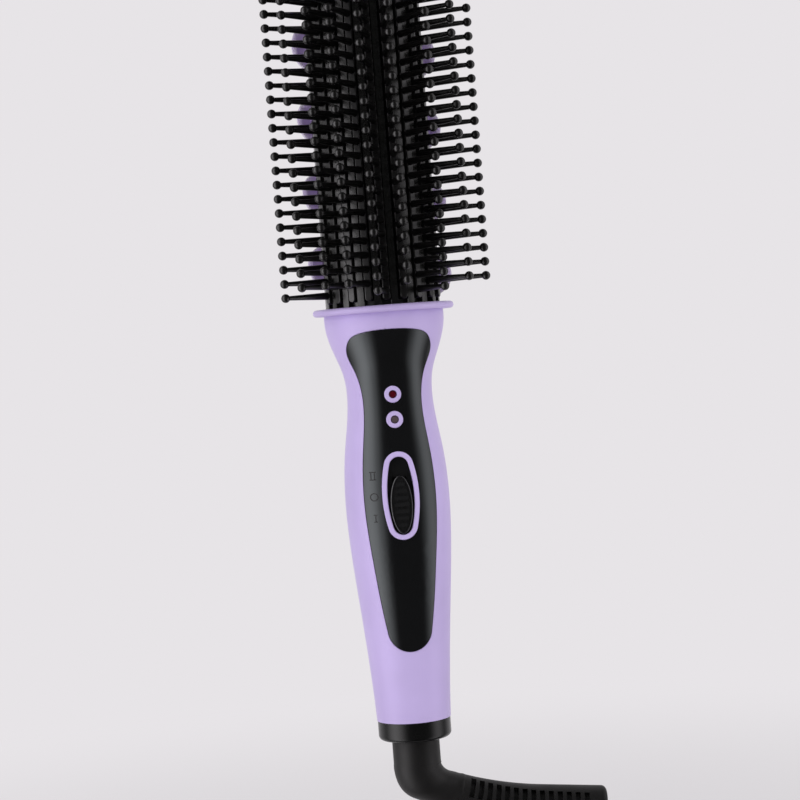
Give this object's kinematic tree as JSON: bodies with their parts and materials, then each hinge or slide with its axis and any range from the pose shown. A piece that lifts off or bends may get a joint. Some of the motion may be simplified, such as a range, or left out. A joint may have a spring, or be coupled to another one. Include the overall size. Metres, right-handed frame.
{
  "type": "heated round styling brush",
  "caption": "Corded heated round styling brush: bristled barrel with a rear guard, waisted handle with a control panel, lamps and slide switch, and a swivelling slotted cord boot.",
  "frame": {"origin": "on the brush axis in the middle of the hand grip, 62 mm below the collar's top face", "axes": "+Z along the brush axis towards the tip, -Y the front with the control panel, +X the side the cord boot points to at rest"},
  "size_m": [0.0855, 0.0542, 0.2885],
  "materials": {
    "lilac_plastic": "satin lilac moulded plastic",
    "panel_gloss": "piano black",
    "black_plastic": "satin black",
    "cap_gloss": "gloss black",
    "barrel_coated": "gloss black coating on an aluminium extrusion",
    "bristle_nylon": "satin black nylon",
    "boot_rubber": "matte moulded",
    "red_lens": "dark red translucent",
    "clear_lens": "clear diffused",
    "screw_steel": "zinc plated",
    "board_green": "solder mask",
    "wire_white": "silicone insulation",
    "insulator": "heat resistant moulding",
    "bare_aluminium": "mill finish",
    "ceramic": "fired ceramic heater stone",
    "film_amber": "amber insulating film",
    "contact_brass": "bright"
  },
  "bodies": {
    "brush": {"front_shell": "lilac_plastic", "rear_shell": "lilac_plastic", "shell_screws": "screw_steel", "collar": "lilac_plastic", "control_panel": "panel_gloss", "indicator_rings": "lilac_plastic", "heat_lens": "red_lens", "power_lens": "clear_lens", "indicator_leds": "clear_lens", "switch_bezel": "lilac_plastic", "switch_well": "black_plastic", "slide_switch": "black_plastic", "circuit_board": "board_green", "board_screws": "screw_steel", "heater_wires": "wire_white", "mains_wires": "wire_white", "heater_barrel": "barrel_coated", "rear_guard": "lilac_plastic", "tip_ring": "lilac_plastic", "tip_cap": "cap_gloss", "tip_screw": "screw_steel", "barrel_foot": "insulator", "barrel_screws": "screw_steel", "barrel_head": "insulator", "heat_spreaders": "bare_aluminium", "ptc_stones": "ceramic", "heater_electrodes": "bare_aluminium", "heater_film": "film_amber", "thermal_fuse": "screw_steel", "end_cap": "cap_gloss", "contact_carrier": "insulator", "contact_springs": "contact_brass", "bristle_strip_1": "bristle_nylon", "bristle_strip_2": "bristle_nylon", "bristle_strip_3": "bristle_nylon", "bristle_strip_4": "bristle_nylon", "bristle_strip_5": "bristle_nylon", "bristle_strip_6": "bristle_nylon", "bristle_strip_7": "bristle_nylon", "bristle_strip_8": "bristle_nylon", "bristle_strip_9": "bristle_nylon"},
    "switch": {"switch_knob": "black_plastic", "slide_lever": "black_plastic"},
    "swivel": {"swivel_boot": "boot_rubber", "swivel_stem": "insulator", "swivel_retainer": "insulator", "slip_rings": "contact_brass"}
  },
  "joints": [
    {"name": "switch_slide", "type": "slide", "parent": "brush", "child": "switch", "axis": [0, 0, 1], "range_m": [0, 0.0051]},
    {"name": "cord_swivel", "type": "hinge", "parent": "brush", "child": "swivel", "pos_m": [0, 0, -0.0635], "axis": [0, 0, 1], "continuous": true}
  ]
}
